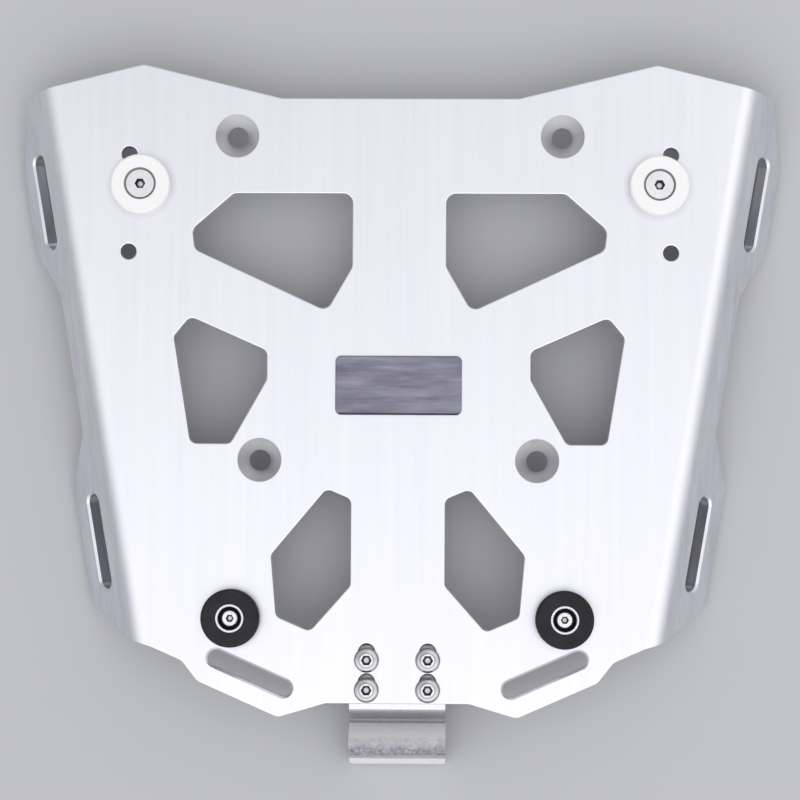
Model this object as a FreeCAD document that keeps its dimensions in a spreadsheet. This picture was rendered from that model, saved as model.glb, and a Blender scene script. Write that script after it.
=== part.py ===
import FreeCAD, Part
import math
import os
import re
import Sketcher
from FreeCAD import Placement, Rotation, Vector

# Luggage rack for the tail of a motorcycle: a folded aluminium plate with six windows, a latch
# catch bolted under its rear edge, two nylon locators in front and two rubber buffers behind.
# Frame: x to the side, y to the front, z up. The datum is the plate's underside on the middle line.

# Every size that can be set by itself, in millimetres and degrees.
PLATE = {
    "plate_thickness": 6.0,
    "front_edge": 129.0,
    "front_flat_half": 50.6,
    "horn_x": 109.7,
    "horn_rise": 14.5,
    "rear_edge": 128.0,
    "rear_flat_half": 30.1,
    "tail_x": 50.3,
    "tail_drop": 6.0,
    "heel_x": 84.4,
    "heel_rise": 9.0,
    "hip_x": 91.2,
    "hip_rise": 17.6,
    "outline_fillet": 5.0,
}
FOLD = {
    "fold_x": 122.3,
    "fold_turn": 9.8,
    "fold_angle": 50.0,
    "fold_inner_radius": 4.0,
    "fold_neutral_share": 0.42,
    "fold_front": 136.6,
    "fold_rear": 106.2,
    "ear_length": 26.0,
    "waist_length": 12.5,
    "shoulder_length": 13.4,
    "front_ear_front": 105.0,
    "front_ear_rear": 70.0,
    "waist_front": 49.0,
    "waist_rear": 11.5,
    "rear_ear_front": 32.0,
    "shoulder_fillet": 8.0,
    "ear_fillet": 6.0,
    "ear_tip_fillet": 4.0,
}
STRAP_SLOTS = {
    "slot_width": 8.0,
    "slot_length": 41.0,
    "slot_chamfer": 0.9,
    "front_slot_place": 89.5,
    "rear_slot_place": 58.5,
    "tail_slot_width": 7.0,
    "tail_slot_length": 38.0,
    "tail_slot_x": 62.2,
    "tail_slot_setback": 12.6,
    "tail_slot_turn": 23.8,
}
WINDOWS = {
    "spine_half": 20.0,
    "front_window_corner": 4.0,
    "window_corner": 3.2,
    "front_window_setback": 41.0,
    "front_window_depth": 31.1,
    "front_window_toe_x": 30.8,
    "front_window_toe_depth": 50.0,
    "front_window_knee_x": 87.1,
    "front_window_knee_depth": 23.9,
    "front_window_side_x": 88.1,
    "front_window_side_depth": 15.4,
    "front_window_shoulder_x": 70.5,
    "side_window_inner_x": 56.0,
    "side_window_top": 20.8,
    "side_window_bottom": 8.8,
    "side_window_foot_drop": 18.5,
    "side_window_foot_x": 71.3,
    "side_window_heel_x": 88.1,
    "side_window_tip_x": 95.6,
    "side_window_tip_y": 26.9,
    "side_window_peak_x": 88.7,
    "side_window_peak_y": 35.2,
    "rear_window_inner_height": 36.3,
    "rear_window_setback": 49.7,
    "rear_window_toe_x": 37.1,
    "rear_window_toe_drop": 19.3,
    "rear_window_heel_x": 51.2,
    "rear_window_heel_drop": 13.2,
    "rear_window_side_x": 53.5,
    "rear_window_side_rise": 12.7,
    "rear_window_peak_x": 30.2,
    "rear_window_peak_rise": 40.6,
}
HOLES = {
    "mount_bore": 9.0,
    "mount_mouth": 18.7,
    "mount_front_x": 69.3,
    "mount_front_setback": 16.4,
    "mount_rear_x": 58.75,
    "mount_rear_drop": 25.5,
    "side_hole_bore": 6.5,
    "side_hole_x": 115.3,
    "side_hole_front_setback": 24.3,
    "side_hole_spacing": 41.7,
}
NAME_PLATE = {
    "badge_width": 53.6,
    "badge_depth": 25.1,
    "badge_thickness": 1.6,
    "badge_place": 6.3,
    "badge_corner": 2.5,
    "badge_bevel": 0.5,
}
CATCH = {
    "catch_width": 41.0,
    "catch_thickness": 2.0,
    "catch_tab_length": 28.0,
    "catch_tab_corner": 3.0,
    "catch_strip": 3.3,
    "catch_well_reach": 4.0,
    "catch_well_depth": 14.1,
    "catch_crest_reach": 12.0,
    "catch_crest_rise": 9.1,
    "catch_lip_reach": 6.9,
    "catch_lip_drop": 19.5,
    "catch_strip_bend": 1.6,
    "catch_well_bend": 2.0,
    "catch_crest_bend": 2.5,
    "catch_lip_corner": 2.5,
    "catch_bolt_inset": 7.6,
    "catch_bolt_setback": 5.7,
    "catch_bolt_spacing": 12.6,
    "catch_slot_travel": 3.7,
    "catch_slot_play": 0.2,
}
# Screws, washers and nuts: one group of sizes for each thread.
FASTENERS = {
    "bolt_thread": 6.0,
    "bolt_head": 10.5,
    "bolt_head_rise": 3.3,
    "bolt_head_rim": 0.8,
    "bolt_head_flat": 5.6,
    "bolt_head_shoulder": 8.8,
    "bolt_head_shoulder_rise": 2.2,
    "bolt_key": 4.0,
    "bolt_key_depth": 2.1,
    "bolt_length": 16.0,
    "bolt_hole_play": 0.5,
    "bolt_washer": 12.0,
    "bolt_washer_thickness": 1.6,
    "bolt_nut_key": 10.0,
    "bolt_nut_collar": 9.2,
    "bolt_nut_hex_height": 4.6,
    "bolt_nut_height": 6.0,
    "pin_thread": 4.0,
    "pin_head": 7.0,
    "pin_head_rise": 4.0,
    "pin_head_rim": 3.2,
    "pin_head_flat": 6.0,
    "pin_head_shoulder": 6.75,
    "pin_head_shoulder_rise": 3.75,
    "pin_key": 3.0,
    "pin_key_depth": 2.0,
    "pin_length": 16.0,
    "pin_hole_play": 0.4,
    "pin_washer": 9.0,
    "pin_washer_thickness": 0.8,
    "pin_nut_key": 7.0,
    "pin_nut_collar": 6.4,
    "pin_nut_hex_height": 3.4,
    "pin_nut_height": 4.8,
    "sunk_head": 11.8,
    "sunk_head_rim": 0.3,
    "sunk_length": 20.0,
    "thread_play": 0.1,
    "tip_chamfer": 0.7,
}
LOCATORS = {
    "locator_x": 110.1,
    "locator_setback": 37.6,
    "locator_diameter": 25.0,
    "locator_height": 6.0,
    "locator_mouth": 13.9,
    "locator_bevel": 0.6,
    "head_play": 0.05,
}
BUFFERS = {
    "buffer_x": 70.3,
    "buffer_setback": 35.7,
    "buffer_diameter": 24.5,
    "buffer_height": 8.0,
    "buffer_bevel": 0.9,
    "ferrule_outer": 12.2,
    "ferrule_inner": 9.9,
    "ferrule_web": 2.0,
    "ferrule_flange": 16.5,
    "ferrule_flange_thickness": 1.4,
    "ferrule_rim_chamfer": 0.25,
}
SIZE_GROUPS = (PLATE, FOLD, STRAP_SLOTS, WINDOWS, HOLES, NAME_PLATE, CATCH, FASTENERS, LOCATORS, BUFFERS)
BEND_SECTIONS = 6
AXIS_ORIGIN = (-1, 1)
UP = Vector(0, 0, 1)
# Two points or levels closer than this are the same one.
TOUCH = 0.001

doc = FreeCAD.newDocument("luggage_rack")
sheet = doc.addObject("Spreadsheet::Sheet", "sizes")


def fill_sheet():
    """One row for each size: its name, its value and the alias that expressions use."""
    row = 1
    for group in SIZE_GROUPS:
        for alias, value in group.items():
            sheet.set(f"A{row}", alias)
            sheet.set(f"B{row}", str(value))
            sheet.setAlias(f"B{row}", alias)
            row += 1
    doc.recompute()


def size(alias):
    return float(getattr(sheet, alias))


def cell(text):
    """Turn 'front_edge + horn_rise' into an expression on the sheet's cells."""
    return re.sub(r"[a-z]+_\w+", lambda found: f"sizes.{found.group()}", text)


# Sketch helpers


def origin_plane(body, role):
    return next(item for item in body.Origin.OriginFeatures if item.Role == role)


def new_body(label):
    body = doc.addObject("PartDesign::Body", label + "_body")
    body.Label = label
    return body


def new_sketch(body, name, role="XY_Plane", offset=None):
    sketch = body.newObject("Sketcher::SketchObject", name)
    sketch.AttachmentSupport = [(origin_plane(body, role), "")]
    sketch.MapMode = "FlatFace"
    if offset is not None:
        sketch.AttachmentOffset = offset
    return sketch


def value_of(sketch, entry):
    return float(sketch.evalExpression(cell(entry))) if isinstance(entry, str) else float(entry)


def zero_axis(kind):
    """Number of the sketch axis on which that coordinate is zero."""
    return -2 if kind == "DistanceX" else -1


def fix_coordinate(sketch, geometry, point, kind, entry):
    """Hold one coordinate of a point: on the axis, at a plain number or bound to the sheet."""
    if entry == 0:
        sketch.addConstraint(Sketcher.Constraint("PointOnObject", geometry, point, zero_axis(kind)))
        return
    value = value_of(sketch, entry)
    index = sketch.addConstraint(Sketcher.Constraint(kind, *AXIS_ORIGIN, geometry, point, value))
    if isinstance(entry, str):
        sketch.setExpression(f"Constraints[{index}]", cell(entry))


def points_of(sketch, corners):
    return [Vector(value_of(sketch, x), value_of(sketch, y), 0) for x, y in corners]


def polygon(sketch, corners):
    """Closed outline through corners given as pairs of cell expressions or numbers."""
    points = points_of(sketch, corners)
    first = sketch.GeometryCount
    count = len(points)
    lines = [Part.LineSegment(points[k], points[(k + 1) % count]) for k in range(count)]
    sketch.addGeometry(lines, False)
    for k in range(count):
        after = first + (k + 1) % count
        sketch.addConstraint(Sketcher.Constraint("Coincident", first + k, 2, after, 1))
    for k, (x, y) in enumerate(corners):
        fix_coordinate(sketch, first + k, 1, "DistanceX", x)
        fix_coordinate(sketch, first + k, 1, "DistanceY", y)


def circle(sketch, x, y, diameter):
    centre = Vector(value_of(sketch, x), value_of(sketch, y), 0)
    index = sketch.addGeometry(Part.Circle(centre, UP, value_of(sketch, diameter) / 2), False)
    fix_coordinate(sketch, index, 3, "DistanceX", x)
    fix_coordinate(sketch, index, 3, "DistanceY", y)
    rule = sketch.addConstraint(Sketcher.Constraint("Diameter", index, value_of(sketch, diameter)))
    if isinstance(diameter, str):
        sketch.setExpression(f"Constraints[{rule}]", cell(diameter))


def slot(sketch, x, y, length, width):
    """Round-ended slot along the sketch's y, centred at x, y."""
    middle_x = value_of(sketch, x)
    middle_y = value_of(sketch, y)
    radius = value_of(sketch, width) / 2
    half = value_of(sketch, length) / 2 - radius
    first = sketch.GeometryCount
    low = Vector(middle_x, middle_y - half, 0)
    high = Vector(middle_x, middle_y + half, 0)
    side = Vector(radius, 0, 0)
    sketch.addGeometry(Part.LineSegment(low + side, high + side), False)
    sketch.addGeometry(Part.ArcOfCircle(Part.Circle(high, UP, radius), 0, math.pi), False)
    sketch.addGeometry(Part.LineSegment(high - side, low - side), False)
    sketch.addGeometry(Part.ArcOfCircle(Part.Circle(low, UP, radius), math.pi, 2 * math.pi), False)
    for k in range(4):
        after = first + (k + 1) % 4
        sketch.addConstraint(Sketcher.Constraint("Tangent", first + k, 2, after, 1))
    sketch.addConstraint(Sketcher.Constraint("Equal", first + 1, first + 3))
    for end, sign in ((first + 1, "+"), (first + 3, "-")):
        fix_coordinate(sketch, end, 3, "DistanceX", x)
        fix_coordinate(sketch, end, 3, "DistanceY", f"{y} {sign} ( {length} - ( {width} ) ) / 2")
    rule = sketch.addConstraint(Sketcher.Constraint("Radius", first + 1, radius))
    sketch.setExpression(f"Constraints[{rule}]", cell(f"( {width} ) / 2"))


def hexagon(sketch, key):
    """Six-sided outline about the sketch's origin, given its width across flats."""
    reach = f"{key} / 2 / cos( 30 deg )"
    corners = [(f"{reach} * cos( {60 * k} deg )", f"{reach} * sin( {60 * k} deg )") for k in range(6)]
    corners = [(x, 0 if k % 3 == 0 else y) for k, (x, y) in enumerate(corners)]
    polygon(sketch, corners)


def pad(body, sketch, length, reverse=False):
    feature = body.newObject("PartDesign::Pad", sketch.Name + "_pad")
    feature.Profile = sketch
    feature.setExpression("Length", cell(length))
    feature.Reversed = reverse
    doc.recompute()
    return feature


def cut_through(body, sketch, midplane=True):
    feature = body.newObject("PartDesign::Pocket", sketch.Name + "_cut")
    feature.Profile = sketch
    feature.Type = "ThroughAll"
    feature.Midplane = midplane
    doc.recompute()
    return feature


def cut_depth(body, sketch, depth, reverse=False):
    feature = body.newObject("PartDesign::Pocket", sketch.Name + "_cut")
    feature.Profile = sketch
    feature.setExpression("Length", cell(depth))
    feature.Reversed = reverse
    doc.recompute()
    return feature


def revolve(body, sketch):
    """Turn a profile drawn in the XZ plane about the z axis."""
    feature = body.newObject("PartDesign::Revolution", sketch.Name + "_turned")
    feature.Profile = sketch
    feature.ReferenceAxis = (sketch, ["V_Axis"])
    feature.Angle = 360
    doc.recompute()
    return feature


def dress(body, kind, name, amount, edges):
    """Fillet or chamfer on named edges of the body's last feature."""
    base = body.Tip
    feature = body.newObject(f"PartDesign::{kind}", name)
    feature.Base = (base, edges)
    feature.setExpression("Radius" if kind == "Fillet" else "Size", cell(amount))
    doc.recompute()
    return feature


def edges_where(shape, wanted):
    return [f"Edge{k + 1}" for k, edge in enumerate(shape.Edges) if wanted(edge)]


def is_straight(edge, direction):
    if not isinstance(edge.Curve, Part.Line):
        return False
    return edge.Curve.Direction.cross(direction).Length < TOUCH


def passes(edge, point, direction):
    """True when a straight edge along direction runs through point."""
    away = edge.CenterOfMass - point
    return (away - direction * away.dot(direction)).Length < TOUCH


def corner_edges(shape, direction, points):
    def wanted(edge):
        return is_straight(edge, direction) and any(passes(edge, point, direction) for point in points)
    return edges_where(shape, wanted)


# The fold of the side flanges


def fold_outer_radius():
    return size("fold_inner_radius") + size("plate_thickness")


def fold_flat_length():
    neutral = size("fold_inner_radius") + size("fold_neutral_share") * size("plate_thickness")
    return neutral * math.radians(size("fold_angle"))


def fold_axes():
    """Unit vectors across the fold, outwards, and along it, to the front."""
    turn = math.radians(size("fold_turn"))
    return Vector(math.cos(turn), -math.sin(turn), 0), Vector(math.sin(turn), math.cos(turn), 0)


def fold_foot():
    return Vector(size("fold_x"), 0, 0)


def plan_point(out, along):
    """Point in the plan, from its distances across and along the fold line."""
    across, forward = fold_axes()
    return fold_foot() + across * out + forward * along


def edge_slope(corner, along):
    """Slope of the blank's straight edge that runs from a plate corner to the fold line."""
    across, forward = fold_axes()
    away = corner - fold_foot()
    return (along - away.dot(forward)) / (0 - away.dot(across))


def front_limit(flat):
    corner = Vector(size("horn_x"), size("front_edge") + size("horn_rise"), 0)
    return size("fold_front") + edge_slope(corner, size("fold_front")) * flat


def rear_limit(flat):
    corner = Vector(size("hip_x"), size("hip_rise") - size("rear_edge"), 0)
    return -size("fold_rear") + edge_slope(corner, -size("fold_rear")) * flat


def section_placement(angle):
    """Plane across the bent sheet at an angle round the fold: x along the fold, y through the sheet."""
    across, forward = fold_axes()
    radial = across * math.sin(angle) + UP * math.cos(angle)
    travel = forward.cross(radial)
    base = fold_foot() - UP * size("fold_inner_radius")
    return Placement(base, Rotation(forward, radial, travel, "XYZ"))


def flange_placement():
    """Outer face of the flange: x down its slope from the end of the bend, y along the fold."""
    across, forward = fold_axes()
    angle = math.radians(size("fold_angle"))
    radial = across * math.sin(angle) + UP * math.cos(angle)
    down = across * math.cos(angle) - UP * math.sin(angle)
    base = fold_foot() - UP * size("fold_inner_radius") + radial * fold_outer_radius()
    return Placement(base, Rotation(down, forward, radial, "XYZ"))


def flange_corners():
    flat = fold_flat_length()
    shoulder = front_limit(flat + size("shoulder_length"))
    rear_end = rear_limit(flat + size("ear_length"))
    return [
        (0, front_limit(flat)),
        ("shoulder_length", shoulder),
        ("ear_length", "front_ear_front"),
        ("ear_length", "front_ear_rear"),
        ("waist_length", "waist_front"),
        ("waist_length", "0 - waist_rear"),
        ("ear_length", "0 - rear_ear_front"),
        ("ear_length", rear_end),
        (0, rear_limit(flat)),
    ]


# The plate


def plate_corners():
    front = plan_point(0, size("fold_front"))
    rear = plan_point(0, -size("fold_rear"))
    return [
        (0, "front_edge"),
        ("front_flat_half", "front_edge"),
        ("horn_x", "front_edge + horn_rise"),
        (front.x, front.y),
        (rear.x, rear.y),
        ("hip_x", "hip_rise - rear_edge"),
        ("heel_x", "heel_rise - rear_edge"),
        ("tail_x", "0 - rear_edge - tail_drop"),
        ("rear_flat_half", "0 - rear_edge"),
        (0, "0 - rear_edge"),
    ]


def window_outlines():
    top = "front_edge - front_window_setback"
    low = "rear_window_setback - rear_edge"
    front = [
        ("spine_half", top),
        ("spine_half", f"{top} - front_window_depth"),
        ("front_window_toe_x", f"{top} - front_window_toe_depth"),
        ("front_window_knee_x", f"{top} - front_window_knee_depth"),
        ("front_window_side_x", f"{top} - front_window_side_depth"),
        ("front_window_shoulder_x", top),
    ]
    side = [
        ("side_window_inner_x", "side_window_top"),
        ("side_window_inner_x", "side_window_bottom"),
        ("side_window_foot_x", "0 - side_window_foot_drop"),
        ("side_window_heel_x", "0 - side_window_foot_drop"),
        ("side_window_tip_x", "side_window_tip_y"),
        ("side_window_peak_x", "side_window_peak_y"),
    ]
    rear = [
        ("spine_half", f"{low} + rear_window_inner_height"),
        ("spine_half", low),
        ("rear_window_toe_x", f"{low} - rear_window_toe_drop"),
        ("rear_window_heel_x", f"{low} - rear_window_heel_drop"),
        ("rear_window_side_x", f"{low} + rear_window_side_rise"),
        ("rear_window_peak_x", f"{low} + rear_window_peak_rise"),
    ]
    return (
        ("front", front, "front_window_corner"),
        ("side", side, "window_corner"),
        ("rear", rear, "window_corner"),
    )


def plate_blank(body):
    """Flat of the right half up to the fold, with its corners rounded."""
    sketch = new_sketch(body, "blank_outline")
    corners = plate_corners()
    polygon(sketch, corners)
    pad(body, sketch, "plate_thickness")
    points = points_of(sketch, corners)
    rounded = [points[1], points[2], points[5], points[6], points[7], points[8]]
    edges = corner_edges(body.Tip.Shape, UP, rounded)
    dress(body, "Fillet", "blank_corners", "outline_fillet", edges)


def plate_fold(body):
    """Bent strip: sections across the sheet that follow the blank's straight edges round the bend."""
    sections = []
    for k in range(BEND_SECTIONS + 1):
        share = k / BEND_SECTIONS
        angle = math.radians(size("fold_angle")) * share
        flat = fold_flat_length() * share
        sketch = new_sketch(body, f"bend_section_{k}", offset=section_placement(angle))
        inner = "fold_inner_radius"
        outer = "fold_inner_radius + plate_thickness"
        front = front_limit(flat)
        rear = rear_limit(flat)
        polygon(sketch, [(rear, inner), (front, inner), (front, outer), (rear, outer)])
        sections.append(sketch)
    loft = body.newObject("PartDesign::AdditiveLoft", "bend")
    loft.Profile = sections[0]
    loft.Sections = sections[1:]
    doc.recompute()


def plate_flange(body):
    sketch = new_sketch(body, "flange_outline", offset=flange_placement())
    corners = flange_corners()
    polygon(sketch, corners)
    pad(body, sketch, "plate_thickness", reverse=True)
    plane = flange_placement()
    points = [plane.multVec(point) for point in points_of(sketch, corners)]
    normal = plane.Rotation.multVec(UP)
    groups = (("shoulder_fillet", (1,)), ("ear_fillet", (2, 3, 4, 5, 6)), ("ear_tip_fillet", (7,)))
    for amount, picks in groups:
        edges = corner_edges(body.Tip.Shape, normal, [points[k] for k in picks])
        dress(body, "Fillet", amount + "_round", amount, edges)


def plate_windows(body):
    for name, corners, radius in window_outlines():
        sketch = new_sketch(body, f"{name}_window")
        polygon(sketch, corners)
        cut_through(body, sketch)
        edges = corner_edges(body.Tip.Shape, UP, points_of(sketch, corners))
        dress(body, "Fillet", f"{name}_window_corners", radius, edges)


def rim_edges(shape, is_near, height, direction):
    """Edges near the chosen holes that lie in one plane across direction."""
    def wanted(edge):
        points = [vertex.Point for vertex in edge.Vertexes] + [edge.CenterOfMass]
        flat = all(abs(point.dot(direction) - height) < TOUCH for point in points)
        return flat and is_near(edge.CenterOfMass)
    return edges_where(shape, wanted)


def slot_cut(body, name, plane, length, width):
    """Strap slot with both rims chamfered, cut across the sheet whose outer face holds its sketch."""
    sketch = new_sketch(body, name, offset=plane)
    slot(sketch, 0, 0, length, width)
    cut_through(body, sketch)
    normal = plane.Rotation.multVec(UP)
    half_width = size(width) / 2 + TOUCH
    half_length = size(length) / 2 + TOUCH

    def is_near(point):
        local = plane.inverse().multVec(point)
        return abs(local.x) < half_width and abs(local.y) < half_length

    outer = plane.Base.dot(normal)
    edges = rim_edges(body.Tip.Shape, is_near, outer, normal)
    edges += rim_edges(body.Tip.Shape, is_near, outer - size("plate_thickness"), normal)
    dress(body, "Chamfer", name + "_rims", "slot_chamfer", edges)


def plate_slots(body):
    flange = flange_placement()
    middle = size("ear_length") / 2
    front = Vector(middle, size("front_slot_place"), 0)
    rear = Vector(middle, -size("rear_slot_place"), 0)
    for name, centre in (("front_strap_slot", front), ("rear_strap_slot", rear)):
        slot_cut(body, name, flange.multiply(Placement(centre, Rotation())), "slot_length", "slot_width")
    slant = Rotation(UP, size("tail_slot_turn") - 90)
    base = Vector(size("tail_slot_x"), size("tail_slot_setback") - size("rear_edge"), size("plate_thickness"))
    slot_cut(body, "tail_strap_slot", Placement(base, slant), "tail_slot_length", "tail_slot_width")


def plate_holes(body):
    """Mounting bores with their countersinks, side holes, and the seats of locator, buffer and catch."""
    mounts = [
        ("mount_front_x", "front_edge - mount_front_setback"),
        ("mount_rear_x", "0 - mount_rear_drop"),
    ]
    sketch = new_sketch(body, "mount_holes")
    for x, y in mounts:
        circle(sketch, x, y, "mount_bore")
    cut_through(body, sketch)
    centres = points_of(sketch, mounts)
    reach = size("mount_bore")

    def is_near(point):
        return any(Vector(point.x, point.y, 0).distanceToPoint(centre) < reach for centre in centres)

    edges = rim_edges(body.Tip.Shape, is_near, size("plate_thickness"), UP)
    dress(body, "Chamfer", "mount_countersinks", "( mount_mouth - mount_bore ) / 2", edges)
    sketch = new_sketch(body, "screw_holes")
    side_front = "front_edge - side_hole_front_setback"
    circle(sketch, "side_hole_x", side_front, "side_hole_bore")
    circle(sketch, "side_hole_x", f"{side_front} - side_hole_spacing", "side_hole_bore")
    circle(sketch, "locator_x", "front_edge - locator_setback", "bolt_thread + bolt_hole_play")
    circle(sketch, "buffer_x", "buffer_setback - rear_edge", "pin_thread + pin_hole_play")
    cut_through(body, sketch)
    sketch = new_sketch(body, "catch_slots")
    width = "bolt_thread + bolt_hole_play"
    for k in range(2):
        middle = f"{catch_bolt_y(k)} + ( catch_slot_travel - catch_slot_play ) / 2"
        slot(sketch, catch_bolt_x(""), middle, f"{width} + catch_slot_travel", width)
    cut_through(body, sketch)


def rack_plate():
    """Right half as one body, mirrored and joined on the middle line."""
    half = new_body("rack_plate_half")
    plate_blank(half)
    plate_fold(half)
    plate_flange(half)
    plate_windows(half)
    plate_slots(half)
    plate_holes(half)
    mirrored = doc.addObject("Part::Mirroring", "rack_plate_other_half")
    mirrored.Source = half
    mirrored.Normal = Vector(1, 0, 0)
    plate = doc.addObject("Part::Fuse", "rack_plate_joined")
    plate.Base = half
    plate.Tool = mirrored
    plate.Refine = True
    plate.Label = "rack_plate"
    doc.recompute()
    return plate


# Name plate


def name_plate():
    """Blank badge, bonded on the plate's middle."""
    body = new_body("name_plate")
    sketch = new_sketch(body, "badge_outline")
    right, left = "badge_width / 2", "0 - badge_width / 2"
    front, rear = "badge_depth / 2", "0 - badge_depth / 2"
    corners = [(right, front), (right, rear), (left, rear), (left, front)]
    polygon(sketch, corners)
    pad(body, sketch, "badge_thickness")
    edges = corner_edges(body.Tip.Shape, UP, points_of(sketch, corners))
    dress(body, "Fillet", "badge_corners", "badge_corner", edges)
    top = rim_edges(body.Tip.Shape, lambda point: True, size("badge_thickness"), UP)
    dress(body, "Chamfer", "badge_edge", "badge_bevel", top)
    place(body, "0", "badge_place", "plate_thickness")
    return body


def place(body, x, y, z):
    for axis, entry in zip("xyz", (x, y, z)):
        body.setExpression(f"Placement.Base.{axis}", cell(entry))


# Latch catch


def catch_bolt_x(side):
    """Cell expression of a bolt's place across the catch; side is empty or a minus sign."""
    return f"{side}( catch_width / 2 - catch_bolt_inset )"


def catch_bolt_y(row):
    """Cell expression of a bolt row's place; row 0 is next to the rear edge."""
    return f"catch_bolt_setback + {row} * catch_bolt_spacing - rear_edge"


def catch_path():
    """Corners of the bent sheet's middle line, in the distance behind the rear edge and the height."""
    half = size("catch_thickness") / 2
    strip = size("catch_strip")
    well = strip + size("catch_well_reach")
    crest = well + size("catch_crest_reach")
    lip = crest + size("catch_lip_reach")
    return [
        (-size("catch_tab_length"), -half),
        (strip, -half),
        (well, -size("catch_well_depth")),
        (crest, size("catch_crest_rise")),
        (lip, -size("catch_lip_drop")),
    ]


def bent_path(points, radii):
    """Straight runs joined by tangent arcs: the pieces of a bend line through the corners."""
    corners = [Vector(x, y, 0) for x, y in points]
    pieces = []
    start = corners[0]
    for k, radius in enumerate(radii, start=1):
        back = (corners[k - 1] - corners[k]).normalize()
        onward = (corners[k + 1] - corners[k]).normalize()
        half_turn = (math.pi - back.getAngle(onward)) / 2
        cut = radius * math.tan(half_turn)
        first = corners[k] + back * cut
        last = corners[k] + onward * cut
        bisector = (back + onward).normalize()
        centre = corners[k] + bisector * (radius / math.cos(half_turn))
        middle = centre - bisector * radius
        pieces.append(("line", start, first))
        pieces.append(("arc", first, middle, last))
        start = last
    pieces.append(("line", start, corners[-1]))
    return pieces


def meeting_ends(path, index):
    """Which end of one piece and which end of the next lie on the same point."""
    def gap(ends):
        return path.getPoint(index, ends[0]).distanceToPoint(path.getPoint(index + 1, ends[1]))
    return min(((1, 1), (1, 2), (2, 1), (2, 2)), key=gap)


def latch_catch():
    """Bent sheet that the case's latch grips, swept along its bend line, with four bolt holes."""
    body = new_body("latch_catch")
    path = new_sketch(body, "catch_bend_line", role="YZ_Plane")
    radii = [size("catch_strip_bend"), size("catch_well_bend"), size("catch_crest_bend")]
    points = [(-size("rear_edge") - behind, height) for behind, height in catch_path()]
    pieces = bent_path(points, radii)
    for piece in pieces:
        if piece[0] == "line":
            path.addGeometry(Part.LineSegment(piece[1], piece[2]), False)
        else:
            path.addGeometry(Part.Arc(piece[1], piece[2], piece[3]), False)
    joints = [(k, *meeting_ends(path, k)) for k in range(len(pieces) - 1)]
    for k, end, start in joints:
        path.addConstraint(Sketcher.Constraint("Coincident", k, end, k + 1, start))
    for k in range(len(pieces)):
        path.addConstraint(Sketcher.Constraint("Block", k))
    section_place = Placement(Vector(0, 0, -points[0][0]), Rotation())
    section = new_sketch(body, "catch_section", role="XZ_Plane", offset=section_place)
    half = "catch_width / 2"
    polygon(section, [
        (f"0 - {half}", 0), (half, 0), (half, "0 - catch_thickness"), (f"0 - {half}", "0 - catch_thickness"),
    ])
    sweep = body.newObject("PartDesign::AdditivePipe", "catch_sheet")
    sweep.Profile = section
    sweep.Spine = (path, [])
    doc.recompute()
    tab_end = points[0][0]
    corners = [Vector(side * size("catch_width") / 2, tab_end, 0) for side in (-1, 1)]
    edges = corner_edges(body.Tip.Shape, UP, corners)
    dress(body, "Fillet", "catch_tab_corners", "catch_tab_corner", edges)
    dress(body, "Fillet", "catch_lip_corners", "catch_lip_corner", lip_edges(body.Tip.Shape))
    holes = new_sketch(body, "catch_holes")
    for side in ("", "0 - "):
        for k in range(2):
            circle(holes, catch_bolt_x(side), catch_bolt_y(k), "bolt_thread + bolt_hole_play")
    cut_depth(body, holes, "catch_thickness")
    return body


def lip_edges(shape):
    """The two short edges through the sheet at the lip's free end."""
    lowest = shape.BoundBox.ZMin + size("catch_thickness")
    short = size("catch_thickness") + TOUCH

    def wanted(edge):
        return isinstance(edge.Curve, Part.Line) and edge.Length < short and edge.CenterOfMass.z < lowest
    return edges_where(shape, wanted)


# Fasteners


def turned(body, name, corners):
    """Solid of revolution about the z axis from a profile of radius and height."""
    sketch = new_sketch(body, name, role="XZ_Plane")
    polygon(sketch, corners)
    return revolve(body, sketch)


def socket(body, name, key, depth, top):
    """Hexagon socket cut down from the head's top face."""
    sketch = new_sketch(body, name, offset=Placement(Vector(0, 0, value_of(body, top)), Rotation()))
    sketch.setExpression("AttachmentOffset.Base.z", cell(top))
    hexagon(sketch, key)
    return cut_depth(body, sketch, depth)


def socket_screw(label, prefix):
    """Socket screw with a rounded head, its bearing face at z 0."""
    body = new_body(label)
    shank = f"{prefix}_thread / 2"
    tip = f"0 - {prefix}_length"
    corners = [
        (0, f"{prefix}_head_rise"),
        (f"{prefix}_head_flat / 2", f"{prefix}_head_rise"),
        (f"{prefix}_head_shoulder / 2", f"{prefix}_head_shoulder_rise"),
        (f"{prefix}_head / 2", f"{prefix}_head_rim"),
        (f"{prefix}_head / 2", 0),
        (shank, 0),
        (shank, f"{tip} + tip_chamfer"),
        (f"{shank} - tip_chamfer", tip),
        (0, tip),
    ]
    turned(body, label + "_profile", corners)
    socket(body, label + "_socket", f"{prefix}_key", f"{prefix}_key_depth", f"{prefix}_head_rise")
    return body


def sunk_screw(label):
    """Countersunk socket screw, its flat top at z 0."""
    body = new_body(label)
    shank = "bolt_thread / 2"
    cone_end = "0 - sunk_head_rim - ( sunk_head - bolt_thread ) / 2"
    corners = [
        (0, 0),
        ("sunk_head / 2", 0),
        ("sunk_head / 2", "0 - sunk_head_rim"),
        (shank, cone_end),
        (shank, "tip_chamfer - sunk_length"),
        (f"{shank} - tip_chamfer", "0 - sunk_length"),
        (0, "0 - sunk_length"),
    ]
    turned(body, label + "_profile", corners)
    sketch = new_sketch(body, label + "_socket")
    hexagon(sketch, "bolt_key")
    cut_depth(body, sketch, "bolt_key_depth")
    return body


def washer(label, prefix):
    """Plain washer hanging below z 0."""
    body = new_body(label)
    sketch = new_sketch(body, label + "_ring")
    circle(sketch, 0, 0, f"{prefix}_washer")
    circle(sketch, 0, 0, f"{prefix}_thread + {prefix}_hole_play")
    pad(body, sketch, f"{prefix}_washer_thickness", reverse=True)
    return body


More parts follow.
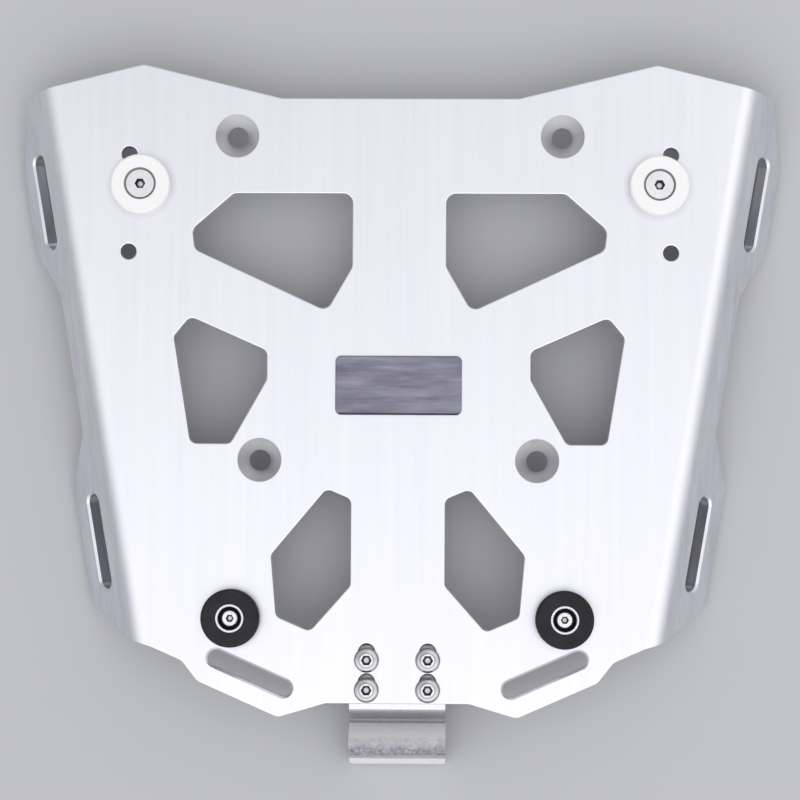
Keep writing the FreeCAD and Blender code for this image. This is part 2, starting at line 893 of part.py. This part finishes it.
def lock_nut(label, prefix):
    """Hexagon nut with a round collar below it that holds the locking ring."""
    body = new_body(label)
    sketch = new_sketch(body, label + "_hexagon")
    hexagon(sketch, f"{prefix}_nut_key")
    circle(sketch, 0, 0, f"{prefix}_thread + thread_play")
    pad(body, sketch, f"{prefix}_nut_hex_height", reverse=True)
    sketch = new_sketch(body, label + "_collar")
    circle(sketch, 0, 0, f"{prefix}_nut_collar")
    circle(sketch, 0, 0, f"{prefix}_thread + thread_play")
    pad(body, sketch, f"{prefix}_nut_height", reverse=True)
    return body


def catch_fasteners():
    """Bolt and lock nut at each of the catch's four places."""
    parts = []
    for k in range(2):
        for side in ("", "0 - "):
            number = len(parts) // 2 + 1
            bolt = socket_screw(f"catch_bolt_{number}", "bolt")
            place(bolt, catch_bolt_x(side), catch_bolt_y(k), "plate_thickness")
            nut = lock_nut(f"catch_nut_{number}", "bolt")
            place(nut, catch_bolt_x(side), catch_bolt_y(k), "0 - catch_thickness")
            parts += [bolt, nut]
    return parts


# Locators and buffers


def locator(label):
    """Nylon disc with a countersunk seat for its screw, standing on z 0."""
    body = new_body(label)
    bore = "( bolt_thread + bolt_hole_play ) / 2"
    corners = [
        (bore, 0),
        ("locator_diameter / 2", 0),
        ("locator_diameter / 2", "locator_height - locator_bevel"),
        ("locator_diameter / 2 - locator_bevel", "locator_height"),
        ("locator_mouth / 2", "locator_height"),
        (bore, f"locator_height - locator_mouth / 2 + {bore}"),
    ]
    turned(body, label + "_profile", corners)
    return body


def sunk_screw_height():
    """Height of the screw's top face, where its cone meets the locator's seat."""
    return "locator_height - ( locator_mouth - sunk_head ) / 2 + sunk_head_rim + head_play"


def rubber_buffer(label):
    """Rubber ring moulded round its ferrule, standing on z 0."""
    body = new_body(label)
    corners = [
        ("ferrule_flange / 2", 0),
        ("buffer_diameter / 2", 0),
        ("buffer_diameter / 2", "buffer_height - buffer_bevel"),
        ("buffer_diameter / 2 - buffer_bevel", "buffer_height"),
        ("ferrule_outer / 2", "buffer_height"),
        ("ferrule_outer / 2", "ferrule_flange_thickness"),
        ("ferrule_flange / 2", "ferrule_flange_thickness"),
    ]
    turned(body, label + "_profile", corners)
    return body


def ferrule(label):
    """Steel cup inside the buffer: a foot flange, a wall and a floor that the screw clamps."""
    body = new_body(label)
    bore = "( pin_thread + pin_hole_play ) / 2"
    corners = [
        (bore, 0),
        ("ferrule_flange / 2", 0),
        ("ferrule_flange / 2", "ferrule_flange_thickness"),
        ("ferrule_outer / 2", "ferrule_flange_thickness"),
        ("ferrule_outer / 2", "buffer_height - ferrule_rim_chamfer"),
        ("ferrule_outer / 2 - ferrule_rim_chamfer", "buffer_height"),
        ("ferrule_inner / 2 + ferrule_rim_chamfer", "buffer_height"),
        ("ferrule_inner / 2", "buffer_height - ferrule_rim_chamfer"),
        ("ferrule_inner / 2", "ferrule_web"),
        (bore, "ferrule_web"),
    ]
    turned(body, label + "_profile", corners)
    return body


def front_locators():
    parts = []
    y = "front_edge - locator_setback"
    for side_name, side in (("right", ""), ("left", "0 - ")):
        x = f"{side}locator_x"
        disc = locator(f"locator_{side_name}")
        place(disc, x, y, "plate_thickness")
        screw = sunk_screw(f"locator_screw_{side_name}")
        place(screw, x, y, f"plate_thickness + {sunk_screw_height()}")
        ring = washer(f"locator_washer_{side_name}", "bolt")
        place(ring, x, y, "0")
        nut = lock_nut(f"locator_nut_{side_name}", "bolt")
        place(nut, x, y, "0 - bolt_washer_thickness")
        parts += [disc, screw, ring, nut]
    return parts


def rear_buffers():
    parts = []
    y = "buffer_setback - rear_edge"
    for side_name, side in (("right", ""), ("left", "0 - ")):
        x = f"{side}buffer_x"
        rubber = rubber_buffer(f"buffer_{side_name}")
        place(rubber, x, y, "plate_thickness")
        cup = ferrule(f"buffer_ferrule_{side_name}")
        place(cup, x, y, "plate_thickness")
        screw = socket_screw(f"buffer_screw_{side_name}", "pin")
        place(screw, x, y, "plate_thickness + ferrule_web")
        ring = washer(f"buffer_washer_{side_name}", "pin")
        place(ring, x, y, "0")
        nut = lock_nut(f"buffer_nut_{side_name}", "pin")
        place(nut, x, y, "0 - pin_washer_thickness")
        parts += [rubber, cup, screw, ring, nut]
    return parts


# Build, check and write


def check(parts):
    for item in doc.Objects:
        if "Invalid" in item.State or "Error" in item.State:
            raise RuntimeError(f"{item.Label} did not build: {item.State}")
    for part in parts:
        shape = part.Shape
        if shape.isNull() or not shape.isValid() or not shape.Solids:
            raise RuntimeError(f"{part.Label} has no valid solid")


def write(parts):
    os.makedirs("parts", exist_ok=True)
    for part in parts:
        part.Shape.exportStep(f"parts/{part.Label}.step")
        box = part.Shape.BoundBox
        print(part.Label, len(part.Shape.Solids), "solid", round(part.Shape.Volume, 1),
              [round(v, 2) for v in (box.XMin, box.YMin, box.ZMin, box.XMax, box.YMax, box.ZMax)])


fill_sheet()
parts = [rack_plate(), name_plate(), latch_catch()]
parts += catch_fasteners()
parts += front_locators()
parts += rear_buffers()
doc.recompute()
check(parts)
write(parts)
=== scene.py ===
import math

import bpy
import bmesh
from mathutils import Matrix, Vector


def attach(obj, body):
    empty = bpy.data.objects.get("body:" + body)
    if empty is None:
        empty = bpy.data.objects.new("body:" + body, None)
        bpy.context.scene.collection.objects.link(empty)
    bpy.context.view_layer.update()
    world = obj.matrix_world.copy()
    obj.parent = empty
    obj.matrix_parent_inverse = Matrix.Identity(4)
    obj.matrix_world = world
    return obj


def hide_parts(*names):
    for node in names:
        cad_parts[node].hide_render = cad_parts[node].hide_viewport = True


# a folded aluminium luggage rack for a motorcycle's tail, seen from above
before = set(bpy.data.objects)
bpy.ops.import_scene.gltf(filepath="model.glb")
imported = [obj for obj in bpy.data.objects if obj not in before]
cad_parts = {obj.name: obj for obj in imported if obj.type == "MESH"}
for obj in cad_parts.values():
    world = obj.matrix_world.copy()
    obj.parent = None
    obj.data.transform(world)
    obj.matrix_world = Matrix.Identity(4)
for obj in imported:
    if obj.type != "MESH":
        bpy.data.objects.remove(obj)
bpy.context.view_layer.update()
sides = ("right", "left")

# lengths in metres, angles in degrees, power in watts
view = {
    "lens": 116.8,
    "place": (0.01830, -0.06072, 1.10348),
    "turn": (3.178, 0.905, 0.308),
}
studio = {
    "floorHeight": -0.02137,
    "floorSize": 8.0,
    "floorColour": (0.56, 0.565, 0.58),
    "skyColour": (0.985, 0.985, 1.0),
    "skyLean": (0.05, -0.10, 0.99),
    "skyTop": 0.92,
    "horizonLight": (0.35, 0.55),    # behind the object, before it
    "zenithLight": (1.51, 0.50),
    "keySize": 2.2,
    "keyPower": 4.0,
    "keyPlace": (0.85, 1.00, 0.95),
}


# materials: a shader, then the nodes that vary it

def material(name, colour, metallic, roughness):
    made = bpy.data.materials.new(name)
    made.use_nodes = True
    shader = made.node_tree.nodes["Principled BSDF"]
    shader.inputs["Base Color"].default_value = (*colour, 1)
    shader.inputs["Metallic"].default_value = metallic
    shader.inputs["Roughness"].default_value = roughness
    return made, shader


def node(made, kind, **inputs):
    added = made.node_tree.nodes.new(kind)
    for label, value in inputs.items():
        socket = added.inputs[label.replace("_", " ")]
        if isinstance(value, bpy.types.NodeSocket):
            made.node_tree.links.new(value, socket)
        else:
            socket.default_value = value
    return added


def link(made, value, shader, label):
    made.node_tree.links.new(value, shader.inputs[label])


def maths(made, operation, first, second=0.0):
    added = made.node_tree.nodes.new("ShaderNodeMath")
    added.operation = operation
    for socket, value in zip(added.inputs, (first, second)):
        if isinstance(value, bpy.types.NodeSocket):
            made.node_tree.links.new(value, socket)
        else:
            socket.default_value = value
    return added.outputs[0]


def coordinates(made, stretch=(1, 1, 1)):
    place = node(made, "ShaderNodeTexCoord").outputs["Object"]
    return node(made, "ShaderNodeMapping", Vector=place, Scale=stretch).outputs["Vector"]


def noise(made, vector, scale, detail=3.0, rough=0.5):
    added = node(made, "ShaderNodeTexNoise", Vector=vector, Scale=scale, Detail=detail,
        Roughness=rough)
    return added.outputs["Fac"]


def spread(made, value, low, high, start=0.3, stop=0.7):
    added = node(made, "ShaderNodeMapRange", Value=value, From_Min=start, From_Max=stop, To_Min=low,
        To_Max=high)
    return added.outputs["Result"]


def mixColour(made, factor, first, second):
    added = made.node_tree.nodes.new("ShaderNodeMix")
    added.data_type = "RGBA"
    made.node_tree.links.new(factor, added.inputs[0])
    for socket, value in zip((added.inputs[6], added.inputs[7]), (first, second)):
        if isinstance(value, bpy.types.NodeSocket):
            made.node_tree.links.new(value, socket)
        else:
            socket.default_value = (*value, 1)
    return added.outputs[2]


def bump(made, shader, height, depth, strength):
    added = node(made, "ShaderNodeBump", Height=height, Distance=depth, Strength=strength)
    link(made, added.outputs["Normal"], shader, "Normal")


def axisDistance(made, centre):
    # distance from the upright axis that the right and the left piece both have
    split = node(made, "ShaderNodeSeparateXYZ", Vector=coordinates(made)).outputs
    across = maths(made, "SUBTRACT", maths(made, "ABSOLUTE", split[0]), centre[0])
    along = maths(made, "SUBTRACT", split[1], centre[1])
    square = maths(made, "ADD", maths(made, "MULTIPLY", across, across),
        maths(made, "MULTIPLY", along, along))
    turn = maths(made, "ARCTAN2", along, across)
    return maths(made, "SQRT", square), split[2], turn


def ringWave(made, radius, pitch):
    # the fine rings that turning or moulding leaves
    return maths(made, "SINE", maths(made, "MULTIPLY", radius, 2 * math.pi / pitch))


def brushedAluminium(form, mounts, discShadows, bolts):
    made, shader = material("brushedAluminium", (0.87, 0.87, 0.89), 1.0, 0.42)
    fine = noise(made, coordinates(made, (1500, 14, 1500)), 1.0, 4.0, 0.6)
    broad = noise(made, coordinates(made, (240, 5, 240)), 1.0, 3.0, 0.6)
    cloud = noise(made, coordinates(made), 14.0, 3.0)
    streaks = maths(made, "ADD", maths(made, "MULTIPLY", fine, 0.4),
        maths(made, "MULTIPLY", broad, 0.6))
    streak = spread(made, streaks, 0, 1, 0.34, 0.66)
    colour = mixColour(made, streak, (0.86, 0.86, 0.925), (0.905, 0.905, 0.96))
    upward = node(made, "ShaderNodeSeparateXYZ", Vector=coordinates(made)).outputs[2]
    # painted shade: below these heights the bent-down sides take a darker copy of the brushed
    # colour
    folded = spread(made, upward, 1.0, 0.0, *form["fold"])
    colour = mixColour(made, folded, colour,
        mixColour(made, streak, (0.68, 0.68, 0.735), (0.83, 0.83, 0.885)))
    # a painted shadow round each white disc, darkest at its foot and fading over 3 mm
    for centre, reach in discShadows:
        radius = axisDistance(made, centre)[0]
        near = spread(made, radius, 0.30, 0.0, reach, reach + 0.0030)
        colour = mixColour(made, near, colour, (0.42, 0.42, 0.46))
    for centre in bolts:
        # dark in the front end of each slot: painted shade
        radius, height, turn = axisDistance(made, centre)
        end = maths(made, "MULTIPLY", spread(made, radius, 1.0, 0.0, *form["slotEnd"]),
            spread(made, maths(made, "SINE", turn), 0.0, 1.0, 0.3, 0.6))
        below = spread(made, height, 1.0, 0.0, *form["slotTop"])
        colour = mixColour(made, maths(made, "MULTIPLY", end, below), colour, (0.06, 0.06, 0.07))
    grain = fine
    for centre in mounts:
        # the countersunk cones are turned; their colour is painted shade, darker than the brushed
        # faces and lighter on one side than the other
        radius, height, turn = axisDistance(made, centre)
        cone = spread(made, radius, 1.0, 0.0, *form["cone"])
        side = maths(made, "SINE", maths(made, "SUBTRACT", turn, 0.4))
        sector = spread(made, side, 0.0, 1.0, -0.2, 1.0)
        coneShade = mixColour(made, sector, (0.47, 0.47, 0.50), (0.76, 0.765, 0.76))
        colour = mixColour(made, cone, colour, coneShade)
        rings = maths(made, "MULTIPLY", ringWave(made, radius, form["coneRings"]), cone)
        grain = maths(made, "ADD", grain, maths(made, "MULTIPLY", rings, 1.2))
    link(made, colour, shader, "Base Color")
    dull = maths(made, "ADD", spread(made, fine, -0.04, 0.04), spread(made, cloud, 0.30, 0.36))
    link(made, dull, shader, "Roughness")
    bump(made, shader, grain, 0.00001, 0.5)
    return made


def pewterEnamel(lowEdge):
    made, shader = material("pewterEnamel", (0.25, 0.25, 0.31), 0.6, 0.40)
    wipe = noise(made, coordinates(made, (45, 360, 60)), 1.0, 4.0, 0.6)
    grain = noise(made, coordinates(made), 900.0, 3.0, 0.6)
    along = node(made, "ShaderNodeSeparateXYZ", Vector=coordinates(made)).outputs[1]
    # painted shade: a dark strip along the badge's lower edge
    edge = spread(made, along, 1.0, 0.0, lowEdge + 0.0005, lowEdge + 0.0011)
    pewter = mixColour(made, spread(made, wipe, 0, 1), (0.165, 0.16, 0.215), (0.315, 0.31, 0.38))
    link(made, mixColour(made, edge, pewter, (0.035, 0.033, 0.05)), shader, "Base Color")
    link(made, spread(made, wipe, 0.48, 0.34), shader, "Roughness")
    bump(made, shader, grain, 0.00004, 0.5)
    return made


def speckledSteel(form, tones, bolts):
    made, shader = material("speckledSteel", (0.80, 0.80, 0.83), 0.7, 0.38)
    speck = noise(made, coordinates(made), 700.0, 5.0, 0.7)
    patch = noise(made, coordinates(made, (1, 0.6, 0.6)), 260.0, 4.0, 0.6)
    split = node(made, "ShaderNodeSeparateXYZ", Vector=coordinates(made)).outputs
    along = split[1]
    ragged = maths(made, "ADD", along, spread(made, patch, -0.0006, 0.0006))
    # from the plate's edge backwards: strip, wall in painted shade, ramp in painted light, the
    # crest that the claw has rubbed, lip
    colour = None
    for place, blur, shade, speckle in tones:
        tone = mixColour(made, spread(made, speck, 0, 1), [(1 - speckle) * part for part in shade],
            [min(1, (1 + speckle) * part) for part in shade])
        if colour is None:
            colour = tone
        else:
            behind = spread(made, ragged if blur > 0.0005 else along, 0.0, 1.0, place + blur,
                place - blur)
            colour = mixColour(made, behind, colour, tone)
    # painted shade on the covered tab under the plate, away from the bolts
    tabShade = maths(made, "MULTIPLY", spread(made, along, 0.0, 1.0, *form["tabEdge"]),
        spread(made, split[2], 0.0, 1.0, *form["tabTop"]))
    for centre in bolts:
        radius = axisDistance(made, centre)[0]
        tabShade = maths(made, "MULTIPLY", tabShade, spread(made, radius, 0.0, 1.0, *form["unshaded"]))
    colour = mixColour(made, tabShade, colour, (0.02, 0.02, 0.025))
    link(made, colour, shader, "Base Color")
    link(made, spread(made, along, 0.9, 0.05, *form["worn"]), shader, "Metallic")
    link(made, spread(made, speck, 0.46, 0.34), shader, "Roughness")
    bump(made, shader, speck, 0.00005, 0.6)
    return made


def whiteNylon(centre, seat):
    made, shader = material("whiteNylon", (0.95, 0.95, 0.945), 0.0, 0.42)
    radius = axisDistance(made, centre)[0]
    cloud = noise(made, coordinates(made), 120.0, 3.0)
    white = mixColour(made, spread(made, cloud, 0, 1), (0.95, 0.95, 0.945), (0.975, 0.975, 0.97))
    # painted shade in the countersunk seat round the screw head
    seatShade = spread(made, radius, 1.0, 0.0, seat - 0.0003, seat)
    link(made, mixColour(made, seatShade, white, (0.20, 0.20, 0.22)), shader, "Base Color")
    link(made, spread(made, cloud, 0.36, 0.50), shader, "Roughness")
    bump(made, shader, ringWave(made, radius, 0.0006), 0.00002, 0.4)
    shader.inputs["Subsurface Weight"].default_value = 0.08
    shader.inputs["Subsurface Radius"].default_value = (0.001, 0.001, 0.001)
    return made


def blackRubber(centre):
    made, shader = material("blackRubber", (0.016, 0.016, 0.019), 0.0, 0.72)
    shader.inputs["Specular IOR Level"].default_value = 0.35
    radius = axisDistance(made, centre)[0]
    grain = noise(made, coordinates(made), 1500.0, 3.0, 0.6)
    dust = noise(made, coordinates(made), 160.0, 4.0)
    rings = ringWave(made, radius, 0.0013)
    link(made, mixColour(made, spread(made, dust, 0, 1), (0.012, 0.012, 0.015),
        (0.022, 0.022, 0.027)), shader, "Base Color")
    link(made, spread(made, grain, 0.60, 0.80), shader, "Roughness")
    bump(made, shader, maths(made, "ADD", grain, maths(made, "MULTIPLY", rings, 0.15)), 0.00006,
        0.5)
    return made


def steel(name, centre, dark, light, roughness, darkInside=None, pitch=0.0, threadTop=0.0,
    rings=()):
    made, shader = material(name, light, 1.0, roughness)
    radius, height, turn = axisDistance(made, centre)
    stain = noise(made, coordinates(made), 700.0, 4.0, 0.6)
    colour = mixColour(made, spread(made, stain, 0, 1), dark, light)
    if darkInside:
        # dark below a height and inside a radius, less so on the middle of a socket's floor:
        # painted shade in the hollow, and in a socket dark oxide as well
        reach, floorReach, top, shade = darkInside
        inside = spread(made, radius, 1.0, 0.0, reach - 0.00005, reach + 0.00005)
        low = spread(made, height, 1.0, 0.0, top - 0.0004, top - 0.0001)
        ring = spread(made, radius, 0.25, 1.0, floorReach * 0.6, floorReach)
        oxideAndShadeMask = maths(made, "MULTIPLY", maths(made, "MULTIPLY", inside, low), ring)
        colour = mixColour(made, oxideAndShadeMask, colour, shade)
    for ringRadius, width, shade in rings:
        # a painted ring of shade on a screw head, darkest in its middle
        away = maths(made, "ABSOLUTE", maths(made, "SUBTRACT", radius, ringRadius))
        colour = mixColour(made, spread(made, away, 1.0, 0.0, 0.0, width), colour, shade)
    link(made, colour, shader, "Base Color")
    link(made, spread(made, stain, roughness + 0.04, roughness - 0.04), shader, "Roughness")
    turned = maths(made, "MULTIPLY", ringWave(made, radius, 0.0004), 0.00001)
    if pitch:
        # the thread climbs once round in each pitch
        climb = maths(made, "ADD", maths(made, "MULTIPLY", height, 2 * math.pi / pitch), turn)
        below = spread(made, height, 1.0, 0.0, threadTop - 0.0001, threadTop)
        thread = maths(made, "MULTIPLY", maths(made, "SINE", climb), below)
        turned = maths(made, "ADD", turned, maths(made, "MULTIPLY", thread, pitch * 0.25))
    bump(made, shader, turned, 1.0, 0.9)
    return made


def lockNutSteel(name, centre, dark, light, insert):
    # galvanised steel, with a nylon ring pressed into the collar round the thread
    made, shader = material(name, light, 1.0, 0.34)
    radius, height = axisDistance(made, centre)[:2]
    stain = noise(made, coordinates(made), 500.0, 4.0, 0.6)
    metal = mixColour(made, spread(made, stain, 0, 1), dark, light)
    ring = spread(made, radius, 1.0, 0.0, insert[0] - 0.00005, insert[0] + 0.00005)
    low = spread(made, height, 1.0, 0.0, insert[1], insert[1] + 0.0002)
    nylon = maths(made, "MULTIPLY", ring, low)
    link(made, mixColour(made, nylon, metal, (0.10, 0.20, 0.45)), shader, "Base Color")
    link(made, maths(made, "SUBTRACT", 1.0, nylon), shader, "Metallic")
    link(made, spread(made, stain, 0.40, 0.28), shader, "Roughness")
    bump(made, shader, stain, 0.00002, 0.5)
    return made


# pieces: a CAD node keeps its shape, and its copy gets the rounded rims of a deburred part

mergeDistance = 0.000001
flatAngle = 0.3
smoothAngle = 32


def rounded(name, made, rim):
    bpy.ops.object.select_all(action="DESELECT")
    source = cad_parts[name]
    piece = source.copy()
    piece.data = source.data.copy()
    piece.name = name + "_finished"
    piece.parent = None
    bpy.context.collection.objects.link(piece)
    bpy.context.view_layer.objects.active = piece
    piece.select_set(True)
    bpy.ops.object.mode_set(mode="EDIT")
    bpy.ops.mesh.select_all(action="SELECT")
    bpy.ops.mesh.remove_doubles(threshold=mergeDistance)
    bpy.ops.mesh.customdata_custom_splitnormals_clear()
    bpy.ops.mesh.dissolve_limited(angle_limit=math.radians(flatAngle))
    bpy.ops.mesh.select_all(action="DESELECT")
    bpy.ops.mesh.select_mode(type="EDGE")
    shape = bmesh.from_edit_mesh(piece.data)
    for edge in shape.edges:
        if edge.is_manifold and math.degrees(edge.calc_face_angle(0)) > rim["from"]:
            edge.select = True
    bmesh.update_edit_mesh(piece.data)
    # a flat face keeps seams to its holes, and sliding along one of these would fold the rim
    bpy.ops.mesh.bevel(offset=rim["width"], segments=rim["steps"], profile=0.5, clamp_overlap=False,
        loop_slide=False)
    bpy.ops.object.mode_set(mode="OBJECT")
    bpy.ops.object.shade_smooth_by_angle(angle=math.radians(smoothAngle))
    piece.modifiers.new("evenNormals", "WEIGHTED_NORMAL").keep_sharp = True
    bpy.ops.object.modifier_apply(modifier="evenNormals")
    piece.data.materials.clear()
    piece.data.materials.append(made)
    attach(piece, "root")
    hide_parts(name)


def paint(name, made):
    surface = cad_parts[name].data
    surface.materials.clear()
    surface.materials.append(made)


plate = {
    "from": 60, "width": 0.00060, "steps": 3,
    "fold": (0.0015, 0.0055),    # heights over which the bent-down sides turn from the flat face's tone to a darker painted shade
    "slotEnd": (0.0085, 0.0088), "slotTop": (0.0049, 0.0054),
    "cone": (0.00925, 0.00935), "coneRings": 0.0007,
}
# the right-hand place of each pair; the material mirrors it
mounts = ((0.0693, 0.1126), (0.05875, -0.0255))
frontPin = (0.1101, 0.0914)
rearPin = (0.0703, -0.0923)
# a painted shadow round the white disc: its axis and the radius where it starts
discShadows = ((frontPin, 0.0123),)
catchBolts = {"x": 0.0129, "rows": (-0.1223, -0.1097), "top": 0.0093, "rim": 0.0050}
boltPlaces = [(catchBolts["x"], y) for y in catchBolts["rows"]]
rounded("rack_plate", brushedAluminium(plate, mounts, discShadows, boltPlaces),
    plate)
print("plate: rims rounded")

badge = {"from": 30, "width": 0.00022, "steps": 2, "lowEdge": -0.00625}
rounded("name_plate", pewterEnamel(badge["lowEdge"]), badge)
print("badge: left blank")

catch = {
    "from": 60, "width": 0.00035, "steps": 3,
    # the tab's painted shade: its edge, its top, and the unshaded radius round each bolt
    "tabEdge": (-0.1284, -0.1282), "tabTop": (-0.0006, -0.0002), "unshaded": (0.0058, 0.0064),
    "worn": (-0.1300, -0.1365),
}
# where each band starts, its blur, its colour and how speckled it is
catchTones = (
    (0.0, 0.0, (0.90, 0.90, 0.92), 0.04),
    # the wall's dark tone is painted shade
    (-0.1306, 0.0002, (0.38, 0.38, 0.405), 0.14),
    # the ramp's bright tone is painted light
    (-0.1369, 0.0003, (0.97, 0.97, 1.0), 0.10),
    (-0.1445, 0.0024, (0.30, 0.30, 0.34), 0.60),
    (-0.1499, 0.0006, (0.46, 0.46, 0.46), 0.25),
    (-0.1516, 0.0003, (0.93, 0.93, 0.96), 0.08),
)
rounded("latch_catch", speckledSteel(catch, catchTones, boltPlaces), catch)
print("catch: edges rounded")

stainless = {"dark": (0.78, 0.78, 0.81), "light": (0.90, 0.90, 0.92), "roughness": 0.33}
zincRoughness = 0.34
zinc = {"dark": (0.60, 0.61, 0.64), "light": (0.78, 0.78, 0.80)}
black = (0.012, 0.012, 0.015)
oxideAndShade = (0.045, 0.045, 0.055)
# painted shade on each bolt head: a dark ring at its rim and a grey ring nearer its middle
boltHeadShade = ((catchBolts["rim"], 0.0008, (0.20, 0.20, 0.23)), (0.0031, 0.0004, (0.42, 0.42, 0.46)))
# a screw: its dark socket of oxide and painted shade (radius, lighter middle, top, colour), its
# thread and its nut's insert
catchScrew = {"darkInside": (0.0024, 0.0013, catchBolts["top"], oxideAndShade), "pitch": 0.001,
              "threadTop": 0.0058}
catchInsert = (0.0040, -0.0075)
for row, centre in enumerate(boltPlaces):
    boltSteel = steel(f"catchBoltSteel{row}", centre, **stainless, **catchScrew, rings=boltHeadShade)
    nutSteel = lockNutSteel(f"catchNutSteel{row}", centre, **zinc, insert=catchInsert)
    for number in (2 * row + 1, 2 * row + 2):
        paint(f"catch_bolt_{number}", boltSteel)
        paint(f"catch_nut_{number}", nutSteel)
print("catch fasteners: bolts and lock nuts")

locator = {"seat": 0.00695, "insert": (0.0040, -0.0071)}
locatorThread = {"darkInside": (0.0024, 0.0013, 0.0113, oxideAndShade), "pitch": 0.001, "threadTop": 0.0055}
locatorNylon = whiteNylon(frontPin, locator["seat"])
locatorScrew = steel("locatorScrewSteel", frontPin, **stainless, **locatorThread)
locatorWasher = steel("locatorWasherSteel", frontPin, **zinc, roughness=zincRoughness)
locatorNut = lockNutSteel("locatorNutSteel", frontPin, **zinc, insert=locator["insert"])
for side in sides:
    paint(f"locator_{side}", locatorNylon)
    paint(f"locator_screw_{side}", locatorScrew)
    paint(f"locator_washer_{side}", locatorWasher)
    paint(f"locator_nut_{side}", locatorNut)
print("locators: white nylon discs and their screws")

# the ferrule cup's black inside is painted shade
buffer = {"cup": (0.00498, 0.0005, 0.0139, black), "insert": (0.0027, -0.0051)}
bufferThread = {"darkInside": (0.0018, 0.0010, 0.0120, oxideAndShade), "pitch": 0.0007, "threadTop": 0.0078}
bufferRubber = blackRubber(rearPin)
ferruleSteel = steel("ferruleSteel", rearPin, **stainless, darkInside=buffer["cup"])
bufferScrew = steel("bufferScrewSteel", rearPin, **stainless, **bufferThread)
bufferWasher = steel("bufferWasherSteel", rearPin, **zinc, roughness=zincRoughness)
bufferNut = lockNutSteel("bufferNutSteel", rearPin, **zinc, insert=buffer["insert"])
for side in sides:
    paint(f"buffer_{side}", bufferRubber)
    paint(f"buffer_ferrule_{side}", ferruleSteel)
    paint(f"buffer_screw_{side}", bufferScrew)
    paint(f"buffer_washer_{side}", bufferWasher)
    paint(f"buffer_nut_{side}", bufferNut)
print("buffers: black rubber rings on steel cups")


def studioFloor():
    bpy.ops.mesh.primitive_plane_add(size=studio["floorSize"],
        location=(0, 0, studio["floorHeight"]))
    floor = bpy.context.object
    floor.name = "floor"
    made, shader = material("floorPaper", studio["floorColour"], 0.0, 0.9)
    link(made, spread(made, noise(made, coordinates(made), 60.0, 2.0), 0.86, 0.94), shader,
        "Roughness")
    floor.data.materials.append(made)


def studioSky():
    world = bpy.data.worlds.new("studioSky")
    bpy.context.scene.world = world
    world.use_nodes = True
    tree = world.node_tree
    sky = tree.nodes["Background"]
    sky.inputs["Color"].default_value = (*studio["skyColour"], 1)
    direction = tree.nodes.new("ShaderNodeTexCoord")
    lean = tree.nodes.new("ShaderNodeVectorMath")
    lean.operation = "DOT_PRODUCT"
    lean.inputs[1].default_value = studio["skyLean"]
    tree.links.new(direction.outputs["Generated"], lean.inputs[0])
    forward = node(world, "ShaderNodeSeparateXYZ", Vector=direction.outputs["Generated"]).outputs[1]
    low = spread(world, forward, *studio["horizonLight"], -1.0, 1.0)
    high = spread(world, forward, *studio["zenithLight"], -0.30, 0.42)
    rise = spread(world, lean.outputs["Value"], 0.0, 1.0, -0.1, studio["skyTop"])
    strength = maths(world, "ADD", low,
        maths(world, "MULTIPLY", rise, maths(world, "SUBTRACT", high, low)))
    tree.links.new(strength, sky.inputs["Strength"])


def studioKey():
    bpy.ops.object.light_add(type="AREA", location=studio["keyPlace"])
    key = bpy.context.object
    key.name = "keyLight"
    key.data.shape = "DISK"
    key.data.size = studio["keySize"]
    key.data.energy = studio["keyPower"]
    key.visible_camera = False
    key.rotation_euler = (-Vector(studio["keyPlace"])).to_track_quat("-Z", "Y").to_euler()


def studioCamera():
    bpy.ops.object.camera_add(location=view["place"],
        rotation=[math.radians(angle) for angle in view["turn"]])
    camera = bpy.context.object
    camera.name = "camera"
    camera.data.lens = view["lens"]
    camera.data.sensor_width = 36
    camera.data.clip_start = 0.01
    bpy.context.scene.camera = camera


studioCamera()
studioFloor()
studioSky()
studioKey()
bpy.context.scene.view_settings.view_transform = "Standard"
print("studio: camera, floor, sky and key light")
